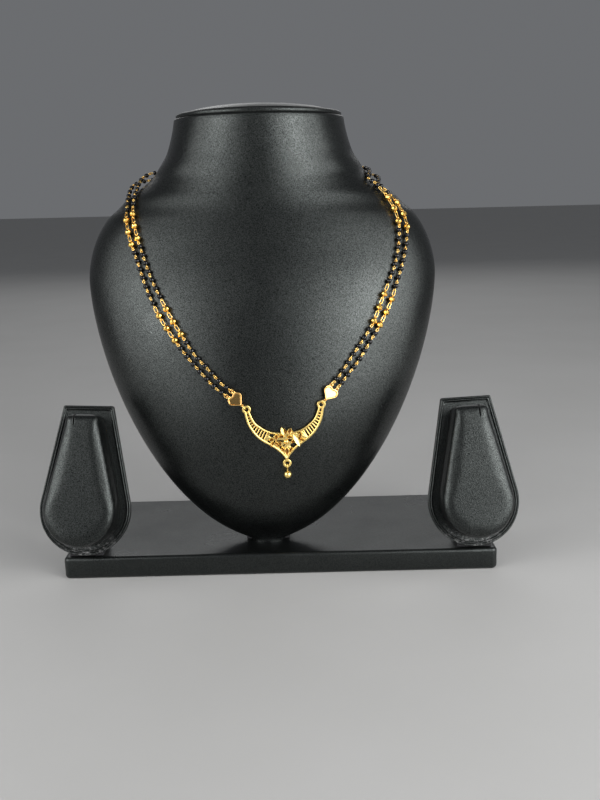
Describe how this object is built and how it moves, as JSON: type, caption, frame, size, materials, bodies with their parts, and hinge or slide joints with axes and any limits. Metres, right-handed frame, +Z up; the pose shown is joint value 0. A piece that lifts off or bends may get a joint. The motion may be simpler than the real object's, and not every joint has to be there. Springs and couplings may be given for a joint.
{
  "type": "mangalsutra necklace on display neck bust with ear pads",
  "caption": "Necklace of black and gold bead strands with heart links and an openwork crescent pendant, worn by a black display neck bust on a board with earring pads.",
  "frame": {"origin": "middle of the bounding box's underside, on the underside of the base board", "axes": "+X to the right as seen from the front, +Y to the back, +Z up; the chest and the pads face -Y"},
  "size_m": [0.2592, 0.1102, 0.249],
  "materials": {
    "bust_leatherette": "fine-grained black leatherette, semi-gloss",
    "pad_leatherette": "padded fine-grained black leatherette, semi-gloss",
    "board_wrap": "black leatherette wrapped over a board",
    "backing_paper": "matt black lining",
    "gold_plate": "polished yellow gold plate",
    "heart_gold": "mirror-polished yellow gold plate",
    "bead_gold": "faceted polished gold plate",
    "black_glass": "glossy opaque black glass"
  },
  "bodies": {
    "root": {"base_board": "board_wrap", "bust_shell": "bust_leatherette", "bust_back_board": "backing_paper", "bust_wedge": "backing_paper", "neck_cap": "bust_leatherette", "pad_backing_left": "pad_leatherette", "pad_backing_right": "pad_leatherette", "pad_cushion_left": "pad_leatherette", "pad_cushion_right": "pad_leatherette", "pad_leg_left": "backing_paper", "pad_leg_right": "backing_paper", "pendant": "gold_plate", "pendant_drop": "gold_plate", "jump_ring_left": "gold_plate", "jump_ring_right": "gold_plate", "heart_left": "heart_gold", "heart_right": "heart_gold", "beads_left_outer": "black_glass", "beads_left_inner": "black_glass", "beads_right_inner": "black_glass", "beads_right_outer": "black_glass", "links_left_outer": "gold_plate", "links_left_inner": "gold_plate", "links_right_inner": "gold_plate", "links_right_outer": "gold_plate", "gold_left_outer_1": "bead_gold", "gold_left_outer_2": "bead_gold", "gold_left_outer_3": "bead_gold", "gold_left_outer_4": "bead_gold", "gold_left_outer_5": "bead_gold", "gold_left_outer_6": "bead_gold", "gold_left_inner_1": "bead_gold", "gold_left_inner_2": "bead_gold", "gold_left_inner_3": "bead_gold", "gold_left_inner_4": "bead_gold", "gold_left_inner_5": "bead_gold", "gold_left_inner_6": "bead_gold", "gold_right_inner_1": "bead_gold", "gold_right_inner_2": "bead_gold", "gold_right_inner_3": "bead_gold", "gold_right_inner_4": "bead_gold", "gold_right_inner_5": "bead_gold", "gold_right_inner_6": "bead_gold", "gold_right_outer_1": "bead_gold", "gold_right_outer_2": "bead_gold", "gold_right_outer_3": "bead_gold", "gold_right_outer_4": "bead_gold", "gold_right_outer_5": "bead_gold", "gold_right_outer_6": "bead_gold", "back_strand_left_outer": "black_glass", "back_strand_left_inner": "black_glass", "back_strand_right_inner": "black_glass", "back_strand_right_outer": "black_glass", "end_ring_left": "gold_plate", "end_ring_right": "gold_plate", "clasp": "gold_plate"}
  },
  "joints": []
}
